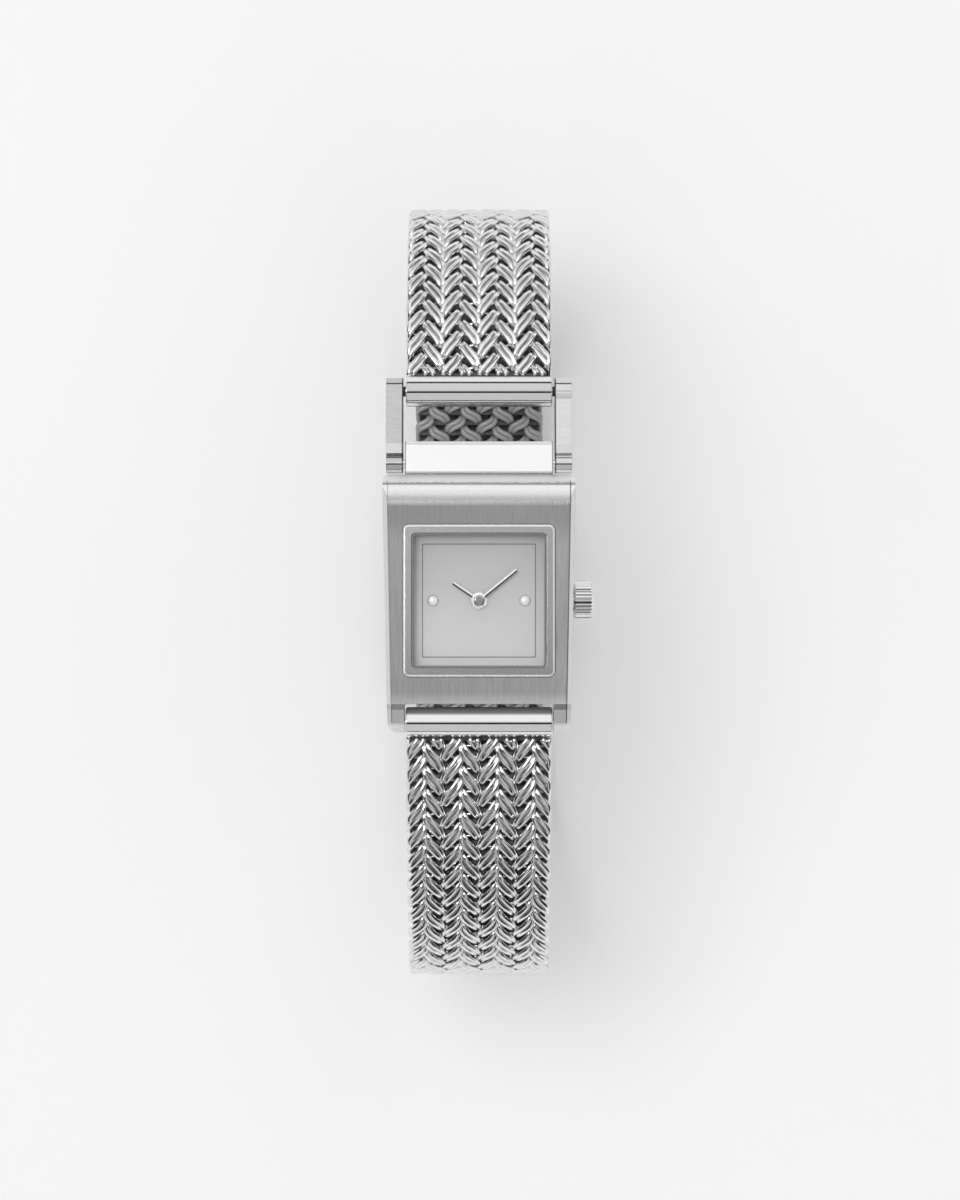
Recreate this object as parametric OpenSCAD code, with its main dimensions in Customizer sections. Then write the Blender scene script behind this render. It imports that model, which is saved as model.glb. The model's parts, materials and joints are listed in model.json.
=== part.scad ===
// Small square-faced bracelet watch on a closed loop of woven wire mesh.
// Z is up, Y points to twelve o'clock and X to the crown. The origin is on the flat underside of the
// sliding buckle, where the loop rests on a table, straight below the centre of the dial.

/* [Case] */
// Width of the case at its twelve o'clock end
case_top_w = 18.4; // [18.2:0.1:21]
// How much narrower the case is at its six o'clock end, measured across the lugs
case_narrowing = 0.9; // [0.4:0.1:1.2]
// Distance from the dial centre to the twelve o'clock end of the case
case_up = 12.05; // [11.4:0.05:14]
// Distance from the dial centre to the six o'clock end of the case between the lugs
case_down = 9.85; // [9.6:0.05:12]
// Thickness of the case from its back to its flat front
case_t = 5.95; // [5.8:0.05:7]
// Radius of the rolled twelve o'clock edge
roll_r = 4; // [3.2:0.1:5]
// Length of the rolled twelve o'clock edge
roll_len = 3; // [2:0.1:3.1]
// Width of the polished bevel along each side of the face
edge_bevel = 0.4; // [0.2:0.05:0.6]
// Distance that the lower lugs reach past the six o'clock end
lug_reach = 2.75; // [2.5:0.05:3.2]
// Length of the polished tongue at twelve o'clock that carries the hinge
tongue_len = 3.15; // [2.8:0.05:4]
// Depth of the tongue from its polished top to its underside
tongue_t = 2.1; // [1.9:0.05:2.6]

/* [Face] */
// Outer side of the raised square rim
rim_out = 14.4; // [14:0.1:15.2]
// Width of the flat top of the rim
rim_w = 0.75; // [0.5:0.05:0.9]
// Height of the rim above the front of the case
rim_h = 0.2; // [0.15:0.05:0.4]
// Thickness of the crystal
crystal_t = 0.75; // [0.6:0.05:0.9]
// Side of the engraved square on the dial
engraved_side = 10.8; // [9:0.1:11.4]
// Width of the engraved line
engraved_w = 0.1; // [0.06:0.01:0.2]
// Thickness of the dial
dial_t = 0.35; // [0.3:0.05:0.4]
// Distance of each domed dot from the dial centre
dot_x = 4.4; // [3.8:0.1:4.9]
// Diameter of each domed dot
dot_d = 1.1; // [0.6:0.05:1.3]
// Length of the minute hand from the centre
minute_len = 4.6; // [3.5:0.1:5.4]
// Length of the hour hand from the centre
hour_len = 3; // [2:0.1:4]
// Width of both hands
hand_w = 0.36; // [0.2:0.02:0.5]

/* [Crown] */
// Diameter of the crown
crown_d = 3.5; // [3:0.1:4.2]
// Length of the crown without its dome
crown_len = 1.75; // [1.5:0.05:2.4]
// Number of ridges round the crown
crown_ridges = 30; // [20:1:40]
// Distance that the crown pulls out
crown_travel = 0.8; // [0.5:0.1:0.9]
// Diameter of the stem
stem_d = 0.6; // [0.5:0.02:0.66]

/* [Hinged frame] */
// Width of each arm
arm_w = 1.62; // [1.3:0.02:1.8]
// Distance that each arm stands in from the side of the case
arm_inset = 0.33; // [0.2:0.01:0.6]
// Distance from the hinge pin to the bracelet's cross pin
arm_len = 7.02; // [6.6:0.05:9]
// Slope of the closed arms below the plane of the dial, in degrees
arm_slope = 8.2; // [4:0.2:12]
// Radius of the barrel of each arm round the hinge pin
barrel_r = 0.95; // [0.85:0.05:1]
// Radius of the hooked end of each arm
hook_r = 1.3; // [1.2:0.05:1.45]
// Diameter of the hinge pin
hinge_pin_d = 0.9; // [0.7:0.05:1]
// Diameter of the cross pin that the hooks hold
cross_pin_d = 1; // [0.8:0.05:1.1]

/* [Band] */
// Distance that each edge of the mesh stands in from the side of the case
band_inset = 2.2; // [2.15:0.05:2.6]
// Thickness of the mesh
band_t = 1.9; // [1.6:0.05:2]
// Diameter of the tube at each end of the band
tube_d = 2.9; // [2.6:0.05:3]
// Height of the lower spring bar above the table
bar_height = 48.65; // [47:0.25:52]
// Diameter of the spring bar
bar_d = 0.9; // [0.7:0.05:1]
// Reach of the lower half of the loop from the dial centre to the middle of the mesh
lower_reach = 37.1; // [36.5:0.1:40]
// Reach of the upper half of the loop from the dial centre to the middle of the mesh
upper_reach = 38.55; // [38:0.1:41]
// Length of the straight start of the lower half, before its gentle curve
lower_lead = 6.4; // [3:0.1:8]
// Length of the straight start of the upper half
upper_lead = 2.8; // [2:0.1:5]
// Radius of the tighter curve where the mesh turns down at the sides of the wrist
side_bend = 11; // [9:0.5:12]
// Radius of the curve under the wrist
low_bend = 25; // [22:0.5:26]
// Number of columns of slanted leaves across the mesh
leaf_cols = 8; // [4:2:12]
// Length of one leaf of the weave along the mesh
leaf_pitch = 2.29; // [1.8:0.01:4]
// Lean of the leaves from the length of the mesh, in degrees
leaf_lean = 30; // [25:1:50]
// Depth of the grooves between the leaves
leaf_dip = 0.32; // [0.1:0.02:0.4]

/* [Sliding buckle] */
// Length of the buckle's sleeve along the band
sleeve_len = 18; // [17:0.1:19]
// Thickness of the sleeve's side walls
sleeve_wall = 1.1; // [0.8:0.05:1.6]
// Thickness of the sleeve's outer plate, which lies on the table
sleeve_base = 1.1; // [1:0.05:1.4]
// Thickness of the sleeve's inner plate, next to the wrist
sleeve_top = 0.7; // [0.5:0.05:1]
// Length of the locking lever from its pin to its tip
lever_len = 5.6; // [4.6:0.1:6]
// Width of the locking lever
lever_w = 10.6; // [8:0.1:11.4]
// Thickness of the locking lever
lever_t = 0.7; // [0.55:0.05:0.8]

/* [Hidden] */
$fn = 64;
eps = 0.01;

// Clearances
fit_gap = 0.01;
run_gap = 0.05;
part_gap = 0.1;
tube_gap = 0.33;
lug_gap = 0.1;
arm_gap = 0.2;
hook_gap = 0.1;
hook_relief = 0.5;

// Widths that follow from the case
case_low_w = case_top_w - case_narrowing;
band_w = case_top_w - 2 * band_inset;
arm_out_x = case_top_w / 2 - arm_inset;
arm_in_x = arm_out_x - arm_w;
tongue_w = 2 * (arm_in_x - arm_gap);

// Heights of the case
case_back_z = bar_height - 4.05;
case_front_z = case_back_z + case_t;
rim_z = case_front_z + rim_h;
bar_y = -(case_down + tube_gap + tube_d / 2);
lug_in_x = band_w / 2 + lug_gap;
lug_tip_y = -(case_down + lug_reach);
roll_drop = roll_r - sqrt(roll_r * roll_r - roll_len * roll_len);
taper = atan((case_top_w - case_low_w) / 2 / (case_up - lug_tip_y));
lug_flat = 0.55;
lug_slope_drop = 0.5;
lug_tip_drop = 1.5;
lug_tip_len = 0.95;
top_corner_r = 0.6;
tip_corner_r = 1;
lug_under = 1.3;

// Stack under the crystal, from the front
face_side = rim_out - 2 * rim_w;
crystal_z = rim_z + part_gap - crystal_t;
gasket_w = 0.18;
rim_bevel = 0.12;
dial_ring_w = 0.25;
dial_ring_h = 0.88;
dial_top_z = crystal_z - dial_ring_h - 0.02;
dial_z = dial_top_z - dial_t;
dial_side = face_side + 0.4;
cavity_side = face_side + 0.7;
corner_r = 0.45;
plate_t = 1.8;
plate_z = dial_z - 0.05 - plate_t;
plate_side = cavity_side - 1;
back_t = 0.7;
back_x = cavity_side + 2;
back_y = cavity_side + 3.6;
back_screw_x = back_x / 2 - 1.2;
back_screw_y = back_y / 2 - 0.85;
screw_r = 0.3;
screw_head_r = 0.65;
screw_len = 1.5;
back_groove = cavity_side + 0.5;
back_groove_w = 0.4;
back_groove_d = 0.35;

// Motion work between the plate and the dial
recess_d = 0.8;
recess_z = plate_z + plate_t - recess_d;
wheel_mod = 0.1;
pinion_teeth = 12;
wheel_teeth = 36;
small_teeth = 10;
hour_teeth = 40;
wheel_apart = wheel_mod * (pinion_teeth + wheel_teeth) / 2;
hour_mod = 2 * wheel_apart / (small_teeth + hour_teeth);
wheel_z = recess_z + 0.08;
hour_wheel_z = recess_z + 0.42;
leaf_h = 0.3;
wheel_h = 0.15;
pipe_r = 0.3;
hour_pipe_r = 0.62;
stud_r = 0.2;
hour_hand_z = dial_top_z + 0.2;
minute_hand_z = hour_hand_z + 0.24;
hand_t = 0.12;
hour_hub_r = 0.77;
cap_r = 0.52;
hour_angle = 56;
minute_angle = -51;

// Crown and stem
stem_z = plate_z + 0.6;
side_x = case_top_w / 2 - (case_up * tan(taper));
crown_x = side_x + part_gap;
crown_dome = 0.2;
crown_recess_r = 0.95;
crown_recess = 1;
tube_out = 0.75;
crown_tube_r = 0.72;
stem_in_x = 3.6;
groove_x = 4.4;
groove_w = 0.32;
neck_r = 0.17;
setting_w = 1.6;
setting_h = 0.75;

// Parts behind the movement plate
inner_z = case_back_z + back_t + part_gap;
foot_r = 0.3;
foot_len = 0.9;
foot_place = plate_side / 2 - foot_len;
engraved_depth = 0.06;
dial_step = 0.02;
cell_r = 2.9;
cell_cap_r = 2.6;
cell_x = -2.2;
cell_y = -2.7;
coil_x = 4.3;
coil_y = -1.1;
coil_z = inner_z + 0.85;
coil_r = 0.7;
coil_len = 4.9;
core_len = 9.6;
core_end_w = 1.2;
core_neck = 0.6;
core_h = 0.5;
board_x = -5.6;
board_y = 1.2;
board_len = 8.2;
board_w = 4.4;
board_t = 0.25;
chip_side = 1.7;
chip_h = 0.58;
can_r = 0.6;
can_len = 3.6;

// Hinged frame
hinge_y = case_up + part_gap + barrel_r;
hinge_z = bar_height + 0.4;
cross_y = hinge_y + arm_len * cos(arm_slope);
cross_z = hinge_z - arm_len * sin(arm_slope);
tongue_drop = 0.3;
tongue_bevel = 0.35;
tongue_lip = 0.15;
tongue_neck_drop = 0.25;
step_back = 0.8;

// Band
sleeve_gap = 0.1;
flat_z = sleeve_base + sleeve_gap + band_t / 2;
sleeve_h = sleeve_base + 2 * sleeve_gap + band_t + sleeve_top;
leave_lower = 14;
leave_upper = 15;
turn_down = 58;
tongue_in = 0.55;
core_t = 1.1;
core_w = band_w - 0.3;
seam_dip = 0.16;
leaf_swing = band_w / leaf_cols / tan(leaf_lean) / 2;
swing_rows = 4;
tail_y = sleeve_len / 2 - 2.4;
clip_len = 1.5;
clip_y = sleeve_len / 2 - 0.75;
slider_bar_r = 0.35;
slider_bar_y = clip_y - slider_bar_r - 0.15;

// Locking lever
lever_y = -2;
lever_z = 0.55;
lever_barrel_r = 0.5;
lever_pin_r = 0.25;
window_gap = 0.1;
nail_notch = 0.7;

// A state along the mesh is its distance from the dial centre, its height and how steeply it heads
// down. A run is a radius and a turn in degrees, or a zero and the length of a straight.
function advance(at, run) = run[0] == 0
    ? [at[0] + run[1] * cos(at[2]), at[1] - run[1] * sin(at[2]), at[2]]
    : [at[0] + run[0] * (sin(at[2] + run[1]) - sin(at[2])),
       at[1] + run[0] * (cos(at[2] + run[1]) - cos(at[2])), at[2] + run[1]];

function state_after(at, runs, n) = n == 0 ? at : advance(state_after(at, runs, n - 1), runs[n - 1]);
function part_of(run, share) = [run[0], run[1] * share];
function run_length(run) = run[0] == 0 ? run[1] : run[0] * run[1] * PI / 180;
function path_length(runs, i = 0) = i == len(runs) ? 0 : run_length(runs[i]) + path_length(runs, i + 1);
function state_at(at, runs, s, i = 0) =
    let (here = run_length(runs[i]))
    s <= here || i == len(runs) - 1
        ? advance(at, part_of(runs[i], s / here)) : state_at(advance(at, runs[i]), runs, s - here, i + 1);

// Runs of one half of the loop, from its tube out and down to the flat under the wrist. The radius of
// the gentle curve follows from the reach, and the straight down the side from the height.
function half_loop(start, reach, lead, end_u) =
    let (bend = (reach - start[0] - lead * cos(start[2]) - side_bend * (1 - sin(turn_down)))
        / (sin(turn_down) - sin(start[2])))
    let (down = [[0, lead], [bend, turn_down - start[2]], [side_bend, 90 - turn_down]])
    let (side_z = state_after(start, down, 3)[1])
    concat(down, [[0, side_z - low_bend - flat_z], [low_bend, 90], [0, reach - low_bend - end_u]]);

lower_start = [-bar_y, bar_height, leave_lower];
lower_runs = half_loop(lower_start, lower_reach, lower_lead, -tail_y);
upper_start = [cross_y, cross_z, leave_upper];
upper_runs = half_loop(upper_start, upper_reach, upper_lead, clip_y);

// Square with round corners, drawn on its centre
module soft_square(side_a, side_b, r) {
    square([side_a, side_b - 2 * r], center = true);
    square([side_a - 2 * r, side_b], center = true);
    for (a = [-1, 1], b = [-1, 1])
        translate([a * (side_a / 2 - r), b * (side_b / 2 - r)]) circle(r, $fn = 32);
}

module square_ring(outer, inner, h, r) {
    linear_extrude(h) difference() {
        soft_square(outer, outer, r);
        soft_square(inner, inner, max(0.1, r - (outer - inner) / 2));
    }
}

// Straight round bar along X, on its centre
module bar_x(r, len) {
    rotate([0, 90, 0]) cylinder(r = r, h = len, center = true);
}

// Draws a profile of Y across and Z up, and gives it a width along X
module across(width) {
    rotate([90, 0, 90]) linear_extrude(width, center = true) children();
}

// Outline of a toothed wheel: each tooth is a flat tip on two straight flanks
function teeth_outline(n, tip, root, tip_share, root_share) = [
    for (i = [0:n - 1], p = [[root, -root_share], [tip, -tip_share], [tip, tip_share], [root, root_share]])
        p[0] * [cos((i + p[1] / 2) * 360 / n), sin((i + p[1] / 2) * 360 / n)]
];

module gear(n, module_size, h) {
    pitch_r = n * module_size / 2;
    linear_extrude(h)
        polygon(teeth_outline(n, pitch_r + 0.6 * module_size, pitch_r - 0.85 * module_size, 0.2, 0.42));
}

// Side outline of the case and its lower lugs
module case_outline() {
    translate([-case_down, case_back_z])
        square([case_down + case_up - roll_len, case_t]);
    translate([-case_down, case_back_z])
        square([case_down + case_up, case_t - roll_drop]);
    intersection() {
        translate([case_up - roll_len, case_front_z - roll_r]) circle(roll_r, $fn = 96);
        translate([0, case_back_z]) square([case_up, case_t]);
    }
    polygon([
        [-case_down + eps, case_front_z], [-case_down - lug_flat, case_front_z],
        [lug_tip_y + lug_tip_len, case_front_z - lug_slope_drop], [lug_tip_y, case_front_z - lug_tip_drop],
        [lug_tip_y, bar_height - lug_under + 0.6], [lug_tip_y + 0.6, bar_height - lug_under],
        [-case_down - lug_flat, bar_height - lug_under], [-case_down + eps, case_back_z]
    ]);
}

// Plan of the case, which narrows towards six o'clock and has round corners
module case_plan() {
    top_y = case_up - top_corner_r;
    tip_y = lug_tip_y + tip_corner_r;
    polygon([
        [-case_top_w / 2 + top_corner_r, case_up], [case_top_w / 2 - top_corner_r, case_up],
        [case_top_w / 2, top_y], [case_low_w / 2, tip_y],
        [case_low_w / 2 - tip_corner_r, lug_tip_y], [-case_low_w / 2 + tip_corner_r, lug_tip_y],
        [-case_low_w / 2, tip_y], [-case_top_w / 2, top_y]
    ]);
    for (side = [-1, 1]) {
        translate([side * (case_top_w / 2 - top_corner_r), top_y]) circle(top_corner_r);
        translate([side * (case_low_w / 2 - tip_corner_r), tip_y]) circle(tip_corner_r);
    }
}

// Wedge that bevels an edge of the case on the side given. It starts at y and z, runs towards six
// o'clock and slopes down by the angle given.
module bevel_cut(side, y, z, slope, len) {
    edge_x = case_top_w / 2 - (case_up - y) * tan(taper);
    thick = edge_bevel * sqrt(2);
    translate([side * edge_x, y, z]) rotate([slope, 0, side > 0 ? -taper : taper])
        translate([0, -len / 2, 0]) rotate([0, 45, 0]) cube([thick, len, thick], center = true);
}

module edge_bevels() {
    slope_y = -case_down - lug_flat;
    slope_run = lug_reach - lug_flat - lug_tip_len;
    for (side = [-1, 1]) {
        for (z = [case_back_z, case_front_z])
            bevel_cut(side, case_up + 1, z, 0, case_up - slope_y + 1);
        bevel_cut(side, slope_y, case_front_z, atan(lug_slope_drop / slope_run), slope_run + 0.5);
        bevel_cut(side, lug_tip_y + lug_tip_len, case_front_z - lug_slope_drop,
            atan((lug_tip_drop - lug_slope_drop) / lug_tip_len), 2 * lug_tip_len);
    }
}

// Tongue that stands clear of the rolled edge and is joined to the case by its lower half
module tongue() {
    top = hinge_z + tongue_t / 2;
    neck_top = case_front_z - roll_drop - tongue_neck_drop;
    start_y = case_up + part_gap;
    end_y = case_up + tongue_len;
    across(tongue_w) polygon([
        [case_up - 1, neck_top], [start_y, neck_top], [start_y, top - tongue_lip], [start_y + tongue_lip, top],
        [end_y - tongue_bevel, top - tongue_drop], [end_y, top - tongue_drop - tongue_bevel],
        [end_y, top - tongue_t + 0.3], [end_y - 0.3, top - tongue_t], [case_up - 1, top - tongue_t]
    ]);
}

// Raised square rim with a bevel along its outer edges
module rim() {
    side_profile = [
        [-rim_out / 2, -eps], [rim_out / 2, -eps], [rim_out / 2, rim_h - rim_bevel],
        [rim_out / 2 - rim_bevel, rim_h], [-rim_out / 2 + rim_bevel, rim_h], [-rim_out / 2, rim_h - rim_bevel]
    ];
    translate([0, 0, case_front_z]) intersection() {
        translate([0, 0, -eps]) linear_extrude(rim_h + eps) soft_square(rim_out, rim_out, corner_r);
        across(rim_out + 1) polygon(side_profile);
        rotate(90) across(rim_out + 1) polygon(side_profile);
    }
}

module case_body() {
    color("silver") difference() {
        union() {
            intersection() {
                across(2 * case_top_w) case_outline();
                translate([0, 0, case_back_z]) linear_extrude(case_t) case_plan();
            }
            tongue();
            rim();
        }
        edge_bevels();
        // gap between the lower lugs for the band's tube
        translate([-lug_in_x, -case_down - lug_reach - 1, case_back_z - 1])
            cube([2 * lug_in_x, lug_reach + 1, case_t + 2]);
        // window for the crystal, cavity for the movement and seat for the back
        translate([0, 0, dial_z]) linear_extrude(case_t) soft_square(face_side, face_side, corner_r);
        translate([0, 0, case_back_z - 1])
            linear_extrude(dial_top_z + 1 - case_back_z) soft_square(cavity_side, cavity_side, corner_r);
        translate([0, 0, case_back_z - 1]) linear_extrude(back_t + 1) soft_square(back_x, back_y, 1);
        translate([0, 0, case_back_z + back_t - eps])
            square_ring(back_groove + 2 * back_groove_w, back_groove, back_groove_d + eps, corner_r);
        for (a = [-1, 1], b = [-1, 1]) translate([a * back_screw_x, b * back_screw_y, case_back_z])
            cylinder(r = screw_r + fit_gap, h = back_t + screw_len);
        // holes for the spring bar, the hinge pin and the crown tube
        translate([0, bar_y, bar_height]) bar_x(bar_d / 3 + fit_gap, 2 * (lug_in_x + 0.9));
        translate([0, hinge_y, hinge_z]) bar_x(hinge_pin_d / 2 + run_gap, tongue_w + 1);
        translate([side_x, 0, stem_z]) bar_x(crown_tube_r, 2 * (side_x - cavity_side / 2) + 1);
    }
}

module case_back() {
    color("lightgray") difference() {
        union() {
            translate([0, 0, case_back_z])
                linear_extrude(back_t) soft_square(back_x - 2 * run_gap, back_y - 2 * run_gap, 1);
            translate([0, 0, case_back_z + back_t - eps])
                square_ring(cavity_side - 0.1, cavity_side - 1.1, 0.08 + eps, corner_r);
        }
        for (a = [-1, 1], b = [-1, 1]) translate([a * back_screw_x, b * back_screw_y, case_back_z]) {
            translate([0, 0, -eps]) cylinder(r = screw_r + run_gap, h = back_t + 1);
            translate([0, 0, -eps]) cylinder(r = screw_head_r + run_gap, h = 0.35 + eps);
        }
    }
}

module back_gasket() {
    color("dimgray") translate([0, 0, case_back_z + back_t])
        square_ring(back_groove + 2 * back_groove_w - run_gap, back_groove + run_gap,
            back_groove_d - run_gap, corner_r);
}

module back_screws() {
    color("gray") for (a = [-1, 1], b = [-1, 1])
        translate([a * back_screw_x, b * back_screw_y, case_back_z]) difference() {
            union() {
                cylinder(r = screw_head_r, h = 0.33);
                cylinder(r = screw_r, h = back_t + screw_len - 0.2);
            }
            translate([0, 0, 0.05]) cube([2 * screw_head_r + 1, 0.16, 0.22], center = true);
        }
}

module crystal() {
    side = face_side - 2 * gasket_w - 2 * run_gap;
    bevel = 0.12;
    color("white", 0.3) translate([0, 0, crystal_z]) {
        linear_extrude(crystal_t - bevel) soft_square(side, side, corner_r);
        translate([0, 0, crystal_t - bevel])
            linear_extrude(bevel) soft_square(side - bevel, side - bevel, corner_r - bevel / 2);
    }
}

module crystal_gasket() {
    color("whitesmoke") translate([0, 0, crystal_z])
        square_ring(face_side - run_gap, face_side - run_gap - 2 * gasket_w, crystal_t - 0.2, corner_r);
}

module dial_ring() {
    color("silver") translate([0, 0, dial_top_z])
        square_ring(face_side - run_gap, face_side - 2 * dial_ring_w, dial_ring_h, corner_r);
}

module dial() {
    color("gainsboro") {
        difference() {
            translate([0, 0, dial_z])
                linear_extrude(dial_t - dial_step) soft_square(dial_side, dial_side, corner_r);
            translate([0, 0, dial_top_z - dial_step - engraved_depth])
                square_ring(engraved_side + engraved_w, engraved_side - engraved_w, dial_t, engraved_w);
            translate([0, 0, dial_z - dial_t]) cylinder(r = hour_pipe_r + part_gap, h = 3 * dial_t);
        }
        for (side = [-1, 1]) translate([side * foot_place, -side * foot_place, dial_z - foot_len])
            cylinder(r = foot_r, h = foot_len + eps);
    }
}

module dial_dots() {
    dome_h = 0.22;
    ball_r = (dot_d * dot_d / 4 + dome_h * dome_h) / (2 * dome_h);
    color("white") for (side = [-1, 1]) translate([side * dot_x, 0, dial_top_z - 0.02]) intersection() {
        translate([0, 0, dome_h - ball_r]) sphere(ball_r, $fn = 96);
        cylinder(r = dot_d / 2, h = 1);
    }
}

module movement_holder() {
    outer = cavity_side - 2 * run_gap;
    color("ivory") difference() {
        translate([0, 0, inner_z])
            square_ring(outer, plate_side + 2 * run_gap, dial_z - inner_z - run_gap, corner_r);
        translate([cavity_side / 2, 0, stem_z]) bar_x(stem_d / 2 + 0.2, 3);
    }
}

module movement_plate() {
    color("goldenrod") {
        difference() {
            translate([0, 0, plate_z]) linear_extrude(plate_t) soft_square(plate_side, plate_side, corner_r);
            // recess for the motion work
            translate([0, 0, recess_z]) cylinder(r = hour_teeth * hour_mod / 2 + 0.3, h = recess_d + 1);
            translate([0, -wheel_apart, recess_z])
                cylinder(r = wheel_teeth * wheel_mod / 2 + 0.3, h = recess_d + 1);
            translate([0, 0, plate_z + 0.9]) cylinder(r = 0.25 + run_gap, h = plate_t);
            for (side = [-1, 1])
                translate([side * foot_place, -side * foot_place, plate_z + plate_t - foot_len - part_gap])
                    cylinder(r = foot_r + run_gap, h = 2 * foot_len);
            // bore for the stem and pocket for the setting lever
            translate([plate_side / 2, 0, stem_z])
                bar_x(stem_d / 2 + run_gap, 2 * (plate_side / 2 - stem_in_x + 0.2));
            translate([groove_x - 0.4, -setting_w / 2 - part_gap, plate_z - 1])
                cube([groove_w + crown_travel + 0.8, setting_w + 2 * part_gap, 1 + setting_h + 0.45]);
        }
        translate([0, -wheel_apart, recess_z - eps]) cylinder(r = stud_r, h = 0.7);
    }
}

module battery() {
    color("silver") translate([cell_x, cell_y, inner_z]) {
        cylinder(r = cell_r, h = plate_z - inner_z - 0.3);
        cylinder(r = cell_cap_r, h = plate_z - inner_z - part_gap);
    }
}

// Flat core with a narrow neck that carries the winding
module coil_core() {
    neck_len = coil_len + part_gap;
    end_len = (core_len - neck_len) / 2;
    color("slategray") translate([coil_x, coil_y, coil_z]) {
        cube([core_neck, neck_len + end_len, core_h], center = true);
        for (side = [-1, 1]) translate([0, side * (neck_len + end_len) / 2, 0])
            cube([core_end_w, end_len, core_h], center = true);
    }
}

module coil_winding() {
    color("chocolate") translate([coil_x, coil_y, coil_z]) difference() {
        rotate([90, 0, 0]) cylinder(r = coil_r, h = coil_len, center = true);
        cube([core_neck + 2 * fit_gap, coil_len + 1, core_h + 2 * fit_gap], center = true);
    }
}

module circuit_board() {
    color("seagreen") translate([board_x, board_y, plate_z - run_gap]) {
        translate([0, 0, -board_t]) cube([board_len, board_w, board_t]);
        translate([(board_len - chip_side) / 2, chip_side / 2, -board_t - chip_h])
            cube([chip_side, chip_side, chip_h + eps]);
    }
}

module quartz_can() {
    color("lightsteelblue")
        translate([board_x + board_w / 2, board_y + can_r, plate_z - run_gap - board_t - run_gap - can_r])
            rotate([-90, 0, 0]) cylinder(r = can_r, h = can_len);
}

module cannon_pinion() {
    color("gold") {
        translate([0, 0, wheel_z - 0.03]) gear(pinion_teeth, wheel_mod, leaf_h);
        translate([0, 0, plate_z + 1]) cylinder(r = 0.25, h = wheel_z - plate_z - 1);
        translate([0, 0, wheel_z]) cylinder(r = pipe_r, h = minute_hand_z + hand_t - wheel_z);
    }
}

module minute_wheel() {
    color("gold") translate([0, -wheel_apart, 0]) difference() {
        union() {
            translate([0, 0, wheel_z]) rotate(180 / wheel_teeth) gear(wheel_teeth, wheel_mod, wheel_h);
            translate([0, 0, wheel_z]) cylinder(r = 0.36, h = hour_wheel_z - wheel_z);
            translate([0, 0, hour_wheel_z - 0.04]) gear(small_teeth, hour_mod, wheel_h + 0.08);
        }
        translate([0, 0, wheel_z - 1]) cylinder(r = stud_r + run_gap, h = 3);
    }
}

module hour_wheel() {
    color("gold") difference() {
        union() {
            translate([0, 0, hour_wheel_z]) gear(hour_teeth, hour_mod, wheel_h);
            translate([0, 0, hour_wheel_z])
                cylinder(r = hour_pipe_r, h = hour_hand_z + hand_t - hour_wheel_z);
        }
        translate([0, 0, hour_wheel_z - 1]) cylinder(r = pipe_r + run_gap, h = 4);
    }
}

// Hand with a ridge along its middle and a round hub, pointing to twelve o'clock
module hand(len, hub_r, bore_r) {
    difference() {
        union() {
            translate([0, len, 0]) rotate([90, 0, 0]) linear_extrude(len)
                polygon([
                    [-hand_w / 2, 0], [hand_w / 2, 0], [hand_w / 2, hand_t / 4], [0, hand_t],
                    [-hand_w / 2, hand_t / 4]
                ]);
            cylinder(r = hub_r, h = hand_t);
        }
        translate([0, 0, -1]) cylinder(r = bore_r + fit_gap, h = 3);
    }
}

module hour_hand() {
    color("silver") translate([0, 0, hour_hand_z]) rotate(hour_angle) hand(hour_len, hour_hub_r, hour_pipe_r);
}

module minute_hand() {
    color("silver") translate([0, 0, minute_hand_z]) rotate(minute_angle)
        hand(minute_len, cap_r + 0.1, pipe_r);
}

module hand_cap() {
    color("gray") translate([0, 0, minute_hand_z + hand_t]) {
        cylinder(r = cap_r, h = 0.1);
        translate([0, 0, 0.1]) cylinder(r1 = cap_r, r2 = cap_r - 0.12, h = 0.06);
    }
}

module setting_lever() {
    color("slategray") difference() {
        translate([groove_x + 0.03, -setting_w / 2, plate_z + 0.1])
            cube([groove_w - 0.06, setting_w, setting_h + 0.25]);
        translate([groove_x, 0, stem_z]) bar_x(neck_r + run_gap, 4 * groove_w);
        translate([groove_x - groove_w, -neck_r - run_gap, plate_z - 1])
            cube([3 * groove_w, 2 * (neck_r + run_gap), stem_z - plate_z + 1]);
    }
}

module stem() {
    color("gray") translate([0, 0, stem_z]) rotate([0, 90, 0]) {
        translate([0, 0, stem_in_x]) cylinder(r = stem_d / 2, h = groove_x - stem_in_x);
        translate([0, 0, groove_x - eps]) cylinder(r = neck_r, h = groove_w + 2 * eps);
        translate([0, 0, groove_x + groove_w])
            cylinder(r = stem_d / 2, h = crown_x + crown_recess + 0.4 - groove_x - groove_w);
    }
}

module crown() {
    r = crown_d / 2;
    edge = 0.16;
    color("silver") translate([crown_x, 0, stem_z]) rotate([0, 90, 0]) difference() {
        union() {
            intersection() {
                linear_extrude(crown_len) polygon(teeth_outline(crown_ridges, r, r - 0.14, 0.3, 0.62));
                rotate_extrude() polygon([
                    [0, 0], [r - edge, 0], [r, edge], [r, crown_len - edge],
                    [r - edge, crown_len], [0, crown_len]
                ]);
            }
            intersection() {
                translate([0, 0, crown_len + crown_dome - r * 3]) sphere(r * 3, $fn = 128);
                cylinder(r = r - edge - 0.12, h = crown_len + crown_dome);
            }
        }
        translate([0, 0, -eps]) cylinder(r = crown_recess_r, h = crown_recess + eps);
        translate([0, 0, 0]) cylinder(r = stem_d / 2 + fit_gap, h = crown_recess + 0.4);
    }
}

module crown_gasket() {
    color("dimgray") translate([crown_x + 0.15, 0, stem_z]) rotate([0, 90, 0]) difference() {
        cylinder(r = crown_recess_r - fit_gap, h = 0.3);
        translate([0, 0, -1]) cylinder(r = crown_tube_r - 0.04 + run_gap, h = 3);
    }
}

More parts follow.
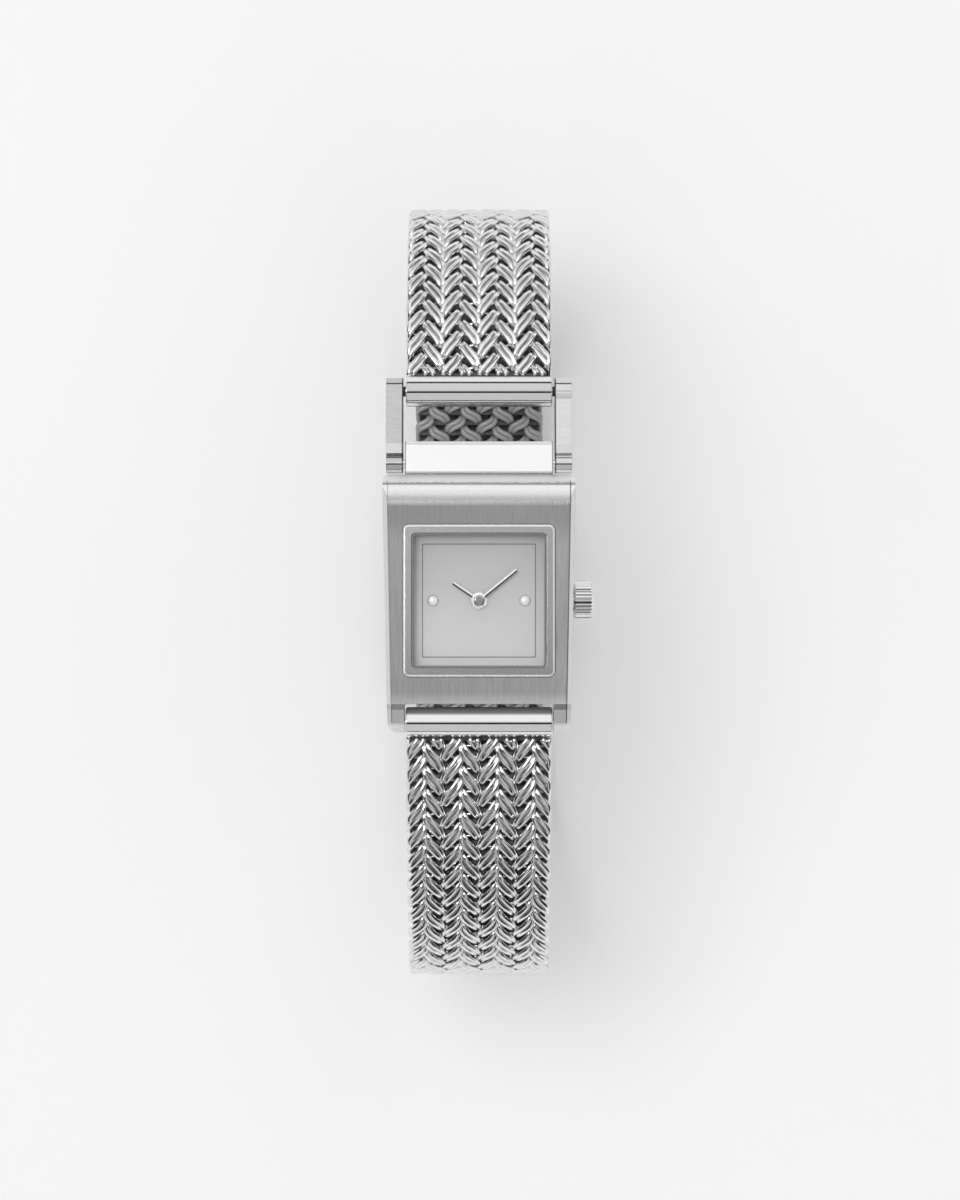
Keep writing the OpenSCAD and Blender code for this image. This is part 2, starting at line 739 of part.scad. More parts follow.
module crown_tube() {
    inner_x = cavity_side / 2 + 0.1;
    color("silver") translate([inner_x, 0, stem_z]) rotate([0, 90, 0]) difference() {
        union() {
            cylinder(r = crown_tube_r - fit_gap, h = side_x - inner_x - 0.1);
            cylinder(r = crown_tube_r - 0.04, h = side_x + tube_out - inner_x);
        }
        translate([0, 0, -1]) cylinder(r = stem_d / 2 + run_gap, h = side_x + tube_out - inner_x + 2);
    }
}

// Side outline of an arm, with the hinge pin on the origin and the cross pin at arm_len
module arm_outline(face) {
    circle(barrel_r);
    translate([arm_len, 0]) circle(hook_r);
    polygon([
        [0.2, -barrel_r + 0.05], [arm_len, -hook_r + 0.35], [arm_len, face],
        [step_back + 0.9, face], [step_back, face - 0.25], [step_back, 0.45], [0.2, 0.45]
    ]);
}

// Arm of the hinged frame. Its end hooks over the cross pin and is open underneath.
module arm(face) {
    difference() {
        translate([0, hinge_y, hinge_z]) rotate([-arm_slope, 0, 0]) across(arm_w) arm_outline(face);
        translate([0, hinge_y, hinge_z]) bar_x(hinge_pin_d / 2 + fit_gap, 2 * arm_w);
        translate([0, cross_y, cross_z]) {
            bar_x(cross_pin_d / 2 + hook_gap, 2 * arm_w);
            translate([-arm_w, -cross_pin_d / 2 - hook_gap - hook_relief, -2 * hook_r])
                cube([2 * arm_w, cross_pin_d + 2 * hook_gap + hook_relief, 2 * hook_r - 0.15]);
            translate([-arm_w, -cross_pin_d / 2 - hook_gap, -hook_r])
                cube([2 * arm_w, cross_pin_d + 2 * hook_gap, hook_r]);
        }
    }
}

module left_arm() {
    color("lightgray") translate([-arm_in_x - arm_w / 2, 0, 0]) arm(hook_r);
}

module right_arm() {
    color("lightgray") translate([arm_in_x + arm_w / 2, 0, 0]) arm(barrel_r);
}

module hinge_pin() {
    color("gray") translate([0, hinge_y, hinge_z]) bar_x(hinge_pin_d / 2, 2 * arm_out_x - 0.1);
}

// Tube at the end of the mesh, slotted for the mesh's edge
module band_tube(slope, width, bore_r) {
    difference() {
        union() {
            bar_x(tube_d / 2, width - 0.16);
            bar_x(tube_d / 2 - 0.15, width);
        }
        bar_x(bore_r, width + 1);
        rotate([-slope, 0, 0]) translate([-width / 2 - 1, tube_d / 2 - tongue_in - 0.05, -core_t / 2 - 0.03])
            cube([width + 2, tube_d, core_t + 0.06]);
    }
}

module upper_tube() {
    color("silver") translate([0, cross_y, cross_z])
        band_tube(leave_upper, band_w, cross_pin_d / 2 + fit_gap);
}

module cross_pin() {
    color("gray") translate([0, cross_y, cross_z]) bar_x(cross_pin_d / 2, 2 * arm_out_x - 0.3);
}

module lower_tube() {
    color("silver") translate([0, bar_y, bar_height]) mirror([0, 1, 0])
        band_tube(leave_lower, band_w, bar_d / 2 + run_gap);
}

module spring_bar() {
    color("gray") translate([0, bar_y, bar_height]) {
        bar_x(bar_d / 2, band_w - 0.1);
        bar_x(bar_d / 3, 2 * (lug_in_x + 0.8));
    }
}

function beside(at, off) = [at[0] + off * sin(at[2]), at[1] + off * cos(at[2])];

// Half of the loop, from the face of its tube to its end in the buckle. Each row of points is a ridge
// or a groove that zigzags over the columns, and both ends thin to a tongue. The zigzag's points lie
// towards the end of the mesh where side is 1, and towards its tube where side is -1.
module mesh_half(start, runs, side) {
    first = tube_d / 2 + 0.12;
    last = path_length(runs) - clip_len + 0.3;
    rows = 2 * round((last - first) / leaf_pitch);
    lines = 2 * leaf_cols;
    ring = lines + leaf_cols + 2;

    function swing(i, j) =
        side * leaf_swing * [-1, 0, 1, 0][j % 4] * min(1, i / swing_rows, (rows - i) / swing_rows);
    function along(i, j) = first + (last - first) * i / rows + swing(i, j);
    function seam(i, j) = j % 2 == 0 && i > 0 && i < rows ? seam_dip : 0;
    function height(i, j) = band_t / 2 - (i % 2) * leaf_dip - seam(i, j);
    function spot(s, j, off, width) =
        let (at = beside(state_at(start, runs, s), off)) [(j / lines - 0.5) * width, at[0], at[1]];
    function woven_ring(i) = concat(
        [for (j = [0:lines]) spot(along(i, j), j, height(i, j), band_w)],
        [for (j = [lines:-2:0]) spot(along(i, j), j, (i % 2) * leaf_dip - band_t / 2, band_w)]
    );
    function core_ring(s) = concat(
        [for (j = [0:lines]) spot(s, j, core_t / 2, core_w)],
        [for (j = [lines:-2:0]) spot(s, j, -core_t / 2, core_w)]
    );

    rings = concat(
        [core_ring(tube_d / 2 - tongue_in), core_ring(first)], [for (i = [0:rows]) woven_ring(i)],
        [core_ring(last), core_ring(last + clip_len - 0.6)]
    );
    end = (len(rings) - 1) * ring;
    // an end face, in triangles between the points of the outer side and the fewer of the inner side
    cap = [
        for (c = [0:leaf_cols - 1]) let (o = 2 * c, n = ring - 1 - c)
            each [[o, o + 1, n], [o + 1, n - 1, n], [o + 1, o + 2, n - 1]]
    ];
    sides = [
        for (r = [0:ring:end - 1], k = [0:ring - 1]) let (next = (k + 1) % ring)
            each [[r + k, r + ring + k, r + next], [r + next, r + ring + k, r + ring + next]]
    ];
    polyhedron([for (r = rings, p = r) p],
        concat(cap, [for (t = cap) [end + t[2], end + t[1], end + t[0]]], sides));
}

module upper_mesh() {
    color("darkgray") mesh_half(upper_start, upper_runs, 1);
}

module lower_mesh() {
    color("darkgray") mirror([0, 1, 0]) mesh_half(lower_start, lower_runs, -1);
}

// Folded strip over the cut end of the mesh, with its open side towards -Y
module end_strip() {
    difference() {
        translate([-band_w / 2, -clip_len + 0.35, -band_t / 2]) cube([band_w, clip_len - 0.35, band_t]);
        translate([-band_w / 2 - 1, -clip_len, -core_t / 2 - fit_gap])
            cube([band_w + 2, clip_len - 0.25, core_t + 2 * fit_gap]);
    }
}

module tail_tip() {
    color("silver") translate([0, tail_y, flat_z]) end_strip();
}

module end_clip() {
    color("silver") translate([0, clip_y, flat_z]) mirror([0, 1, 0]) difference() {
        union() {
            end_strip();
            translate([0, clip_y - slider_bar_y, 0]) bar_x(slider_bar_r + 0.35, band_w);
        }
        translate([0, clip_y - slider_bar_y, 0]) bar_x(slider_bar_r + fit_gap, band_w + 1);
    }
}

module slider_sleeve() {
    half_in = band_w / 2 + sleeve_gap;
    half_out = half_in + sleeve_wall;
    edge = 0.35;
    color("silver") difference() {
        intersection() {
            rotate([90, 0, 0]) linear_extrude(sleeve_len, center = true) translate([0, sleeve_h / 2])
                soft_square(2 * half_out, sleeve_h, edge);
            linear_extrude(sleeve_h) soft_square(2 * half_out, sleeve_len, 1);
        }
        translate([-half_in, -sleeve_len, sleeve_base])
            cube([2 * half_in, 2 * sleeve_len, band_t + 2 * sleeve_gap]);
        // window for the lever, with room for a fingernail at its tip
        translate([-lever_w / 2 - window_gap, lever_y - lever_len - window_gap, -1])
            cube([lever_w + 2 * window_gap, lever_len + 0.75 + window_gap, 3]);
        translate([0, lever_y - lever_len, -0.45]) bar_x(nail_notch, 5);
        translate([0, lever_y, lever_z]) bar_x(lever_pin_r + fit_gap, lever_w + 1.6);
        translate([0, slider_bar_y, flat_z]) bar_x(slider_bar_r + fit_gap, 3 * half_out);
    }
}

module slider_bar() {
    color("gray") translate([0, slider_bar_y, flat_z])
        bar_x(slider_bar_r, band_w + 2 * (sleeve_gap + sleeve_wall - run_gap));
}

module lock_lever() {
    color("lightgray") difference() {
        union() {
            translate([-lever_w / 2, lever_y - lever_len, 0]) cube([lever_w, lever_len, lever_t]);
            translate([0, lever_y, lever_z]) bar_x(lever_barrel_r, lever_w);
        }
        translate([0, lever_y, lever_z]) bar_x(lever_pin_r + run_gap, lever_w + 1);
    }
}

module lever_pin() {
    color("gray") translate([0, lever_y, lever_z]) bar_x(lever_pin_r, lever_w + 1.5);
}

case_body();
case_back();
back_gasket();
back_screws();
crystal();
crystal_gasket();
dial_ring();
dial();
dial_dots();
movement_holder();
movement_plate();
battery();
coil_core();
coil_winding();
circuit_board();
quartz_can();
cannon_pinion();
minute_wheel();
hour_wheel();
hour_hand();
minute_hand();
hand_cap();
setting_lever();
stem();
crown();
crown_gasket();
crown_tube();
left_arm();
right_arm();
hinge_pin();
upper_tube();
cross_pin();
upper_mesh();
lower_tube();
spring_bar();
lower_mesh();
tail_tip();
end_clip();
slider_sleeve();
slider_bar();
lock_lever();
lever_pin();
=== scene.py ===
"""Looks of a small square-faced bracelet watch on a closed loop of woven wire mesh.

Places repeat the part's source in metres. Z is up, Y points to twelve o'clock and X to the crown.
"""

import json
import math

import bpy
import numpy as np
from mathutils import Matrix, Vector


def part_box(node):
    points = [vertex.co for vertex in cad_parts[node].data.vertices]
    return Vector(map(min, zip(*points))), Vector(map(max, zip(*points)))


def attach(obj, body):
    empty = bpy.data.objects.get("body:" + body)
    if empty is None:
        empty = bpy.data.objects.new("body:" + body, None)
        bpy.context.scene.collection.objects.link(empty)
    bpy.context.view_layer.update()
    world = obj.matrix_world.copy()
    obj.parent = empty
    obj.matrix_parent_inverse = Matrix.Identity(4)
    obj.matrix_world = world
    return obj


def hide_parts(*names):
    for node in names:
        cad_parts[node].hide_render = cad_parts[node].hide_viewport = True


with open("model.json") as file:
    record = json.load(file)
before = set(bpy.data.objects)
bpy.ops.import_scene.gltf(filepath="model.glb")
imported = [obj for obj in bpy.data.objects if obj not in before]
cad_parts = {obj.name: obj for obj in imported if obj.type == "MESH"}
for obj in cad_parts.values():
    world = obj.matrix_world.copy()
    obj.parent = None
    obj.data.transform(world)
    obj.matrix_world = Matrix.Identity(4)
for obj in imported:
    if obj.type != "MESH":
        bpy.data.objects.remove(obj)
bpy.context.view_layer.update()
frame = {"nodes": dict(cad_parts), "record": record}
nodes = frame["nodes"]
MM = 0.001

# ---------------------------------------------------------------- sizes shared with the part's source

BAND_W = 14 * MM
BAND_T = 1.9 * MM
CORE_T = 1.1 * MM
TUBE_R = 1.45 * MM
TUBE_GAP = 0.33 * MM
TONGUE_IN = 0.55 * MM
LEAVE_UPPER = math.radians(15)
LEAVE_LOWER = math.radians(14)
UPPER_LEAD = 2.8 * MM
LOWER_LEAD = 6.4 * MM
UPPER_REACH = 38.55 * MM
LOWER_REACH = 37.1 * MM
TURN_DOWN = math.radians(58)
SIDE_BEND = 11 * MM
LOW_BEND = 25 * MM
FLAT_Z = 2.15 * MM
SLEEVE_LEN = 18 * MM
CLIP_LEN = 1.5 * MM
CLIP_Y = SLEEVE_LEN / 2 - 0.75 * MM
TAIL_Y = SLEEVE_LEN / 2 - 2.4 * MM
CASE_UP = 12.05 * MM
CASE_DOWN = 9.85 * MM
RIM_OUT = 14.4 * MM
RIM_CORNER = 0.6 * MM
RIM_W = 0.75 * MM
CASE_TOP_W = 18.4 * MM
EDGE_BEVEL = 0.4 * MM
SIDE_TAPER = 0.45 / 24.85
TONGUE_W = 14.1 * MM
ARM_IN_X = 7.25 * MM
ARM_SLOPE = math.radians(8.2)
ARM_LEN = 7.02 * MM
HINGE_Y = 13.1 * MM
BAR_Z = 48.65 * MM
HINGE_Z = BAR_Z + 0.4 * MM
HOUR_TURN = math.radians(56)
MINUTE_TURN = math.radians(-51)
HAND_HUB_R = 0.7 * MM
DIAL_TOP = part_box("dial")[1].z
CROWN_LOW, CROWN_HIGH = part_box("crown")
CROWN_R = (CROWN_HIGH.z - CROWN_LOW.z) / 2
STEM_Z = (CROWN_HIGH.z + CROWN_LOW.z) / 2

# ---------------------------------------------------------------- values of the looks alone

# the wires start this far off the tube and end this far inside the clip
WIRE_START = 0.03 * MM
WIRE_IN_CLIP = 0.3 * MM
# mesh below this height that faces up is the inner side of the loop, painted in shade
INNER_SIDE_Z = 12 * MM
# grey of the painted shade lines on the case
SHADE_LINE_TONE = 0.08


# ---------------------------------------------------------------- shader helpers

class Shader:
    """One node material: a Principled shader, and short ways to feed it."""

    def __init__(self, name, **sockets):
        self.material = bpy.data.materials.new(name)
        self.material.use_nodes = True
        self.nodes = self.material.node_tree.nodes
        self.links = self.material.node_tree.links
        self.nodes.clear()
        self.output = self.nodes.new("ShaderNodeOutputMaterial")
        self.bsdf = self.nodes.new("ShaderNodeBsdfPrincipled")
        self.links.new(self.bsdf.outputs[0], self.output.inputs[0])
        for socket, value in sockets.items():
            self.bsdf.inputs[socket.replace("_", " ")].default_value = value

    def node(self, kind, inputs=(), **settings):
        made = self.nodes.new(kind)
        for key, value in settings.items():
            setattr(made, key, value)
        for socket, value in dict(inputs).items():
            if isinstance(value, bpy.types.NodeSocket):
                self.links.new(value, made.inputs[socket])
            else:
                made.inputs[socket].default_value = value
        return made

    def math(self, operation, a, b=0.0):
        return self.node("ShaderNodeMath", {0: a, 1: b}, operation=operation).outputs[0]

    def above(self, value, limit):
        return self.math("GREATER_THAN", value, limit)

    def below(self, value, limit):
        return self.math("LESS_THAN", value, limit)

    def size(self, value):
        return self.math("ABSOLUTE", value)

    def times(self, first, *others):
        """Product of sockets or numbers."""
        for other in others:
            first = self.math("MULTIPLY", first, other)
        return first

    def length(self, a, b):
        """Length of the vector with the sides a and b."""
        return self.math("SQRT", self.math("ADD", self.times(a, a), self.times(b, b)))

    def axes(self, which="Object"):
        place = self.node("ShaderNodeTexCoord").outputs[which]
        return self.node("ShaderNodeSeparateXYZ", {0: place}).outputs

    def noise(self, scale, detail=2.0, roughness=0.5):
        """Noise from 0 to 1, with scale in features per metre along X, Y and Z."""
        place = self.node("ShaderNodeTexCoord").outputs["Object"]
        place = self.node("ShaderNodeMapping", {"Vector": place, "Scale": scale})
        return self.node(
            "ShaderNodeTexNoise",
            {"Vector": place.outputs[0], "Scale": 1.0, "Detail": detail, "Roughness": roughness},
        ).outputs[0]

    def cloud(self, scale, detail=2.0):
        return self.noise((scale, scale, scale), detail)

    def wiping_marks(self):
        return self.noise((900, 3500, 3500), detail=3)

    def brush_lines(self):
        return self.noise((14000, 420, 14000), detail=4, roughness=0.7)

    def spread(self, value, low, high, from_low=0.3, from_high=0.7):
        """Value mapped so that from_low gives low and from_high gives high, and no further."""
        return self.node(
            "ShaderNodeMapRange",
            {0: value, 1: from_low, 2: from_high, 3: low, 4: high},
        ).outputs[0]

    def ramp(self, place, low, high, start, end):
        """Spread along a length, whose start and end are in millimetres."""
        return self.spread(place, low, high, start * MM, end * MM)

    def within(self, place, rise, fall):
        """1 between two ramps along a length, each with its start and end in millimetres."""
        return self.times(self.ramp(place, 0, 1, *rise), self.ramp(place, 1, 0, *fall))

    def mix(self, factor, a, b):
        made = self.node("ShaderNodeMix", data_type="FLOAT")
        for index, value in ((0, factor), (2, a), (3, b)):
            if isinstance(value, bpy.types.NodeSocket):
                self.links.new(value, made.inputs[index])
            else:
                made.inputs[index].default_value = value
        return made.outputs[0]

    def tint(self, noise, dark, light):
        """Colour that runs from dark to light with the noise."""
        made = self.node("ShaderNodeMix", data_type="RGBA")
        self.links.new(self.spread(noise, 0, 1), made.inputs[0])
        for index, value in ((6, dark), (7, light)):
            made.inputs[index].default_value = (*value, 1.0)
        return made.outputs[2]

    def feed(self, socket, value):
        self.links.new(value, self.bsdf.inputs[socket])

    def bump(self, height, strength, distance, normal=None):
        inputs = {"Height": height, "Strength": strength, "Distance": distance}
        if normal:
            inputs["Normal"] = normal
        self.feed("Normal", self.node("ShaderNodeBump", inputs).outputs[0])

    def soft_edges(self):
        """Normal that rounds sharp edges a little, as a polisher leaves them."""
        return self.node("ShaderNodeBevel", {"Radius": 0.06 * MM}, samples=4).outputs[0]

    def finish(self, tone, rough, metallic=None, softened=False):
        """Feed a grey tone, the roughness and, where it varies, how metallic it is."""
        colour = self.node("ShaderNodeCombineColor", {0: tone, 1: tone, 2: tone})
        self.feed("Base Color", colour.outputs[0])
        self.feed("Roughness", rough)
        if metallic:
            self.feed("Metallic", metallic)
        if softened:
            self.feed("Normal", self.soft_edges())
        return self.material


def grey(value):
    return (value, value, value * 1.005)


# ---------------------------------------------------------------- plain materials

def polished(name, dark=0.84, light=0.87, rough=0.05):
    """Polished steel with faint, fine wiping marks."""
    made = Shader(name, Metallic=1.0)
    wipe = made.wiping_marks()
    made.feed("Base Color", made.tint(wipe, grey(dark), grey(light)))
    made.feed("Roughness", made.spread(wipe, rough * 0.85, rough * 1.15))
    made.feed("Normal", made.soft_edges())
    return made.material


def brushed_steel(name, dark, light):
    """Steel brushed along the band, for the buckle."""
    made = Shader(name, Metallic=1.0)
    lines = made.brush_lines()
    made.feed("Base Color", made.tint(lines, grey(dark), grey(light)))
    made.feed("Roughness", made.spread(lines, 0.26, 0.38))
    made.bump(lines, 0.2, 0.02 * MM, made.soft_edges())
    return made.material


def plain_metal(name, dark, light, rough):
    made = Shader(name, Metallic=1.0)
    cloud = made.cloud(1500, detail=3)
    made.feed("Base Color", made.tint(cloud, dark, light))
    made.feed("Roughness", made.spread(cloud, rough * 0.8, rough * 1.25))
    return made.material


def plain_matt(name, dark, light, rough, bumpy=0.0):
    made = Shader(name)
    cloud = made.cloud(1200, detail=3)
    made.feed("Base Color", made.tint(cloud, dark, light))
    made.feed("Roughness", made.spread(cloud, rough * 0.9, rough * 1.1))
    if bumpy:
        made.bump(cloud, bumpy, 0.02 * MM)
    return made.material


# ---------------------------------------------------------------- materials of single pieces

def case_material():
    """Brushed front, satin top edge, and polished tongue, rim, sides and lugs."""
    made = Shader("case_steel")
    x, y, _ = made.axes()
    nx, ny, nz = made.axes("Normal")
    size_x, size_y = made.size(x), made.size(y)
    lines = made.brush_lines()
    wipe = made.cloud(2600)

    # distance outwards from the rim's edge, which has round corners
    corner = RIM_OUT / 2 - RIM_CORNER
    past = [
        made.math("MAXIMUM", made.math("SUBTRACT", size, corner), 0.0)
        for size in (size_x, size_y)
    ]
    out = made.math("SUBTRACT", made.length(*past), RIM_CORNER)
    # distance outwards from the line where the front meets the bevels of its sides
    side = made.math("ADD", size_x, made.times(made.math("SUBTRACT", CASE_UP, y), SIDE_TAPER))
    side = made.math("SUBTRACT", side, CASE_TOP_W / 2 - EDGE_BEVEL)

    # where each finish lies
    level = made.above(nz, 0.8)
    below_tongue = made.below(y, CASE_UP + 0.01 * MM)
    front = made.times(level, made.above(out, 0.02 * MM), below_tongue, made.above(y, -CASE_DOWN))
    brushed = made.times(front, made.spread(ny, 1, 0, 0.03, 0.28))
    rolled = made.times(front, made.spread(ny, 1, 0, 0.2, 0.42))
    steep = made.times(made.spread(ny, 0, 1, 0.50, 0.60), made.above(nz, 0.3), below_tongue)
    rim_top = made.times(level, made.below(out, 0.02 * MM))
    lug = made.below(y, -CASE_DOWN)
    tongue = made.above(y, CASE_UP + 0.02 * MM)
    flank = made.above(made.size(nx), 0.95)

    # painted light on the brushed front: lighter towards the crown, through the middle and at the lower
    # end, darker near the top
    grain_and_painted_light = made.times(
        made.spread(lines, 0.134, 0.190),
        made.ramp(x, 0.98, 1.4, -8, 8),
        made.ramp(size_y, 1.18, 1, 5.5, 7.5),
        made.ramp(y, 1.2, 1, -7, -4),
        made.ramp(y, 1.45, 1, -CASE_DOWN / MM, -8.7),
        made.ramp(y, 1, 0.93, 6.5, 8),
    )
    half_tongue = TONGUE_W / 2 / MM
    polish = made.mix(rolled, made.spread(wipe, 0.83, 0.87), made.spread(wipe, 0.64, 0.67))
    polish = made.mix(rim_top, polish, 0.63)
    polish = made.mix(lug, polish, made.ramp(y, 0.76, 0.60, -11.9, -11.8))
    # painted shade along the tongue's edges
    tongue_tone_with_edge_shade = made.ramp(size_x, 0.92, 0.3, half_tongue - 0.12, half_tongue - 0.06)
    polish = made.mix(tongue, polish, tongue_tone_with_edge_shade)
    polish = made.mix(flank, polish, made.spread(lines, 0.50, 0.62))
    tone = made.mix(brushed, polish, grain_and_painted_light)

    # painted shade lines round the rim and along the sides, stronger on the crown's side
    groove_shade = made.times(made.within(out, (0.02, 0.05), (0.10, 0.14)), level)
    tone = made.mix(groove_shade, tone, SHADE_LINE_TONE)
    side_shade_line = made.within(side, (-0.14, -0.09), (-0.02, 0.01))
    side_shade_line = made.times(side_shade_line, level, made.ramp(x, 0.35, 0.8, -1, 1))
    tone = made.mix(side_shade_line, tone, SHADE_LINE_TONE)
    # painted highlight on the outer bevel of the rim, and painted shade on its inner wall with a painted
    # highlight on its low side
    tone = made.mix(made.within(out, (-0.20, -0.15), (0, 0.02)), tone, 0.97)
    inside = made.ramp(out, 1, 0, 0.04 - RIM_W / MM, 0.12 - RIM_W / MM)
    tone = made.mix(inside, tone, made.spread(ny, 0.2, 0.8, 0.4, 0.6))

    satin = made.mix(steep, made.spread(wipe, 0.09, 0.13), made.spread(wipe, 0.38, 0.46))
    rough = made.mix(made.math("MAXIMUM", brushed, flank), satin, made.spread(lines, 0.28, 0.40))
    made.finish(tone, rough, made.spread(steep, 1, 0.35, 0, 1))
    made.bump(made.times(lines, brushed), 0.2, 0.02 * MM, made.soft_edges())
    return made.material


def arm_material(name, dark, light):
    """Satin steel of an arm, with a painted highlight on the step over its knuckle and painted shade
    along its inner edge.
    """
    made = Shader(name)
    x, y, _ = made.axes()
    wipe = made.wiping_marks()
    step_side = made.below(made.axes("Normal")[1], -0.06)
    step = made.times(step_side, made.above(y, HINGE_Y + 0.96 * MM))
    inner = made.spread(made.size(x), 0.15, 1, ARM_IN_X + 0.08 * MM, ARM_IN_X + 0.14 * MM)
    tone = made.times(made.mix(step, made.spread(wipe, dark, light), 0.62), inner)
    rough = made.mix(step, made.spread(wipe, 0.10, 0.14), 0.45)
    return made.finish(tone, rough, made.spread(step, 1, 0.35, 0, 1), softened=True)


def tube_material(name, upper, back, back_from):
    """Polished steel of a tube, with painted shade along its outline.

    On the half towards twelve its grey is upper, and back where the normal's Y passes back_from; these
    greys are painted light and shade.
    """
    made = Shader(name)
    ny = made.axes("Normal")[1]
    wipe = made.wiping_marks()
    # painted shade on the half towards twelve and along the outline, and painted light and shade behind
    tone = made.mix(made.spread(ny, 0, 1, -0.02, 0.03), made.spread(wipe, 0.84, 0.87), upper)
    painted_back = made.spread(ny, 0, 1, back_from, back_from + 0.06)
    outline_shade = made.spread(made.size(ny), 1, 0.05, 0.95, 0.98)
    tone = made.times(made.mix(painted_back, tone, back), outline_shade)
    rough = made.mix(painted_back, made.spread(wipe, 0.043, 0.058), 0.4)
    return made.finish(tone, rough, made.spread(painted_back, 1, 0.15, 0, 1), softened=True)


def pin_material():
    """Steel of the cross pin, with painted shade in the gaps beside the tube."""
    made = Shader("pin_steel", Metallic=1.0)
    wipe = made.wiping_marks()
    gap_shade = made.spread(made.size(made.axes()[0]), 0.05, 0.62, ARM_IN_X, ARM_IN_X + 0.05 * MM)
    tone = made.times(made.spread(wipe, 0.95, 1.05), gap_shade)
    return made.finish(tone, made.spread(wipe, 0.12, 0.18))


def dot_material():
    """Bright satin cap of a dial dot, with painted shade round its foot."""
    made = Shader("dot_steel", Metallic=0.15)
    cloud = made.cloud(2500)
    foot = made.spread(made.axes("Normal")[2], 0.2, 1, 0.78, 0.85)
    tone = made.times(made.spread(cloud, 0.90, 0.95), foot)
    return made.finish(tone, made.spread(cloud, 0.28, 0.36))


def wire_material():
    """Drawn steel wire of the weave, duller and painted darker on the inner side of the closed loop, as
    shade.
    """
    made = Shader("mesh_steel")
    cloud = made.cloud(1500)
    low = made.below(made.axes()[2], INNER_SIDE_Z)
    inner = made.times(low, made.above(made.axes("Normal")[2], 0.0))
    tone = made.mix(inner, made.spread(cloud, 0.75, 0.87), 0.36)
    rough = made.mix(inner, made.spread(cloud, 0.10, 0.16), 0.5)
    return made.finish(tone, rough, made.mix(inner, 1.0, 0.3))


def core_material():
    """Shaded inside of the weave."""
    made = Shader("mesh_core", Metallic=1.0)
    cloud = made.cloud(1800)
    made.feed("Base Color", made.tint(cloud, grey(0.05), grey(0.12)))
    made.feed("Roughness", made.spread(cloud, 0.4, 0.6))
    return made.material


def dial_material():
    """Matt silver lacquer with a fine vertical satin grain, painted darker towards the top and in its
    engraved line, as shade.
    """
    made = Shader("dial_silver", Metallic=0.2)
    _, y, z = made.axes()
    grain = made.noise((14000, 2500, 9000), detail=3, roughness=0.6)
    clouds = made.spread(made.cloud(160, detail=1), -0.01, 0.01)
    tone = made.times(
        made.math("ADD", made.spread(grain, 0.535, 0.565), clouds),
        # painted shade: darker towards the top, and in the engraved line below the dial's face
        made.ramp(y, 1.05, 0.76, -4, 5.5),
        made.spread(z, 0.35, 1, DIAL_TOP - 0.05 * MM, DIAL_TOP - 0.03 * MM),
    )
    made.finish(tone, made.spread(grain, 0.42, 0.6))
    made.bump(grain, 0.15, 0.01 * MM)
    return made.material


def crown_material():
    """Polished steel with painted shade in the grooves between the ridges."""
    made = Shader("crown_steel", Metallic=1.0)
    _, y, z = made.axes()
    wipe = made.wiping_marks()
    out = made.length(y, made.math("SUBTRACT", z, STEM_Z))
    groove_shade = made.spread(out, 0.42, 1, CROWN_R - 0.14 * MM, CROWN_R - 0.08 * MM)
    face = made.above(made.size(made.axes("Normal")[0]), 0.3)
    tone = made.times(made.spread(wipe, 0.90, 0.96), made.math("MAXIMUM", groove_shade, face))
    return made.finish(tone, made.spread(wipe, 0.10, 0.14))


def hand_material(name, turned, upper):
    """Bright upper facet of a hand, with a painted dark line along its ridge and painted shade on the
    lower facet.

    The hand points turned radians on from twelve o'clock, and upper is 1 or -1 for the side that
    faces up the dial.
    """
    made = Shader(name, Metallic=0.6)
    x, y, _ = made.axes()
    wipe = made.wiping_marks()
    cosine, sine = math.cos(turned), math.sin(turned)
    along = made.math("SUBTRACT", made.times(y, cosine), made.times(x, sine))
    across = made.times(made.math("ADD", made.times(x, cosine), made.times(y, sine)), upper)
    ridge = made.times(made.within(across, (-0.14, -0.12), (-0.01, 0.01)), made.above(along, HAND_HUB_R))
    shaded_lower_side = made.ramp(across, 1, 0, -0.12, -0.06)
    tone = made.mix(shaded_lower_side, made.spread(wipe, 0.93, 0.97), 0.72)
    return made.finish(made.mix(ridge, tone, 0.05), made.spread(wipe, 0.2, 0.28))


def ring_material():
    """Satin ring round the dial, in the shade of the rim."""
    made = Shader("ring_steel", Metallic=0.1)
    x, y, _ = made.axes()
    out = made.math("MAXIMUM", made.size(x), made.size(y))
    cloud = made.cloud(2500)
    shade = made.spread(out, 1, 0.6, RIM_OUT / 2 - 1.05 * MM, RIM_OUT / 2 - RIM_W)
    tone = made.times(made.spread(cloud, 0.42, 0.45), shade)
    return made.finish(tone, made.spread(cloud, 0.4, 0.55))


def glass_material():
    """Clear crystal: a reflection on a see-through surface."""
    made = Shader("crystal_glass", Metallic=1.0)
    smear = made.cloud(300)
    made.feed("Base Color", made.tint(smear, (0.94, 0.95, 0.95), (0.98, 0.98, 0.98)))
    made.feed("Roughness", made.spread(smear, 0.01, 0.03))
    clear = made.node("ShaderNodeBsdfTransparent", {"Color": (0.99, 0.99, 0.99, 1)})
    facing = made.node("ShaderNodeLayerWeight", {"Blend": 0.5}).outputs["Facing"]
    shine = made.math("ADD", made.times(made.math("POWER", facing, 5.0), 0.9), 0.03)
    both = made.node("ShaderNodeMixShader", {0: shine})
    made.links.new(clear.outputs[0], both.inputs[1])
    made.links.new(made.bsdf.outputs[0], both.inputs[2])
    made.links.new(both.outputs[0], made.output.inputs[0])
    return made.material


